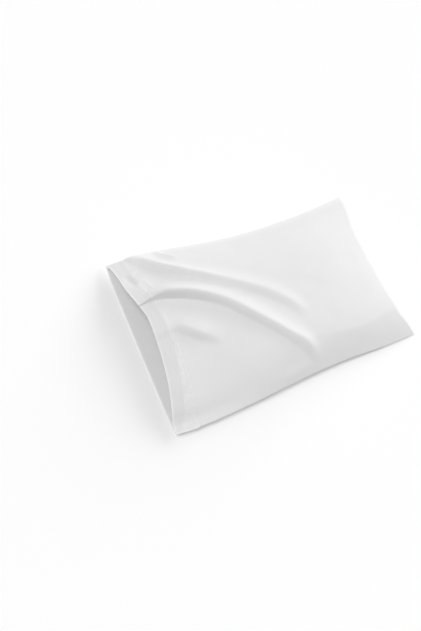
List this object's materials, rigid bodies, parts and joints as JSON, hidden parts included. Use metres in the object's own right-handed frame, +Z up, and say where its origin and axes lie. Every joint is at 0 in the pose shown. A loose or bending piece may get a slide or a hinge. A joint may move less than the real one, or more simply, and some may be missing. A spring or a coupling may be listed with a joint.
{
  "type": "pillowcase",
  "caption": "Plain pillowcase of white cotton with a wide turned hem, open at one end, lying on its back and standing full with soft folds running in from the mouth.",
  "frame": {"origin": "on the surface the case lies on, under the middle of its bounding box", "axes": "+X from the open mouth to the closed end, +Y across from one long seam to the other, +Z up out of the front panel"},
  "size_m": [0.7324, 0.5066, 0.1094],
  "materials": {
    "cloth": "matt, softly brushed"
  },
  "bodies": {
    "root": {"front_panel": "cloth", "back_panel": "cloth"}
  },
  "joints": []
}
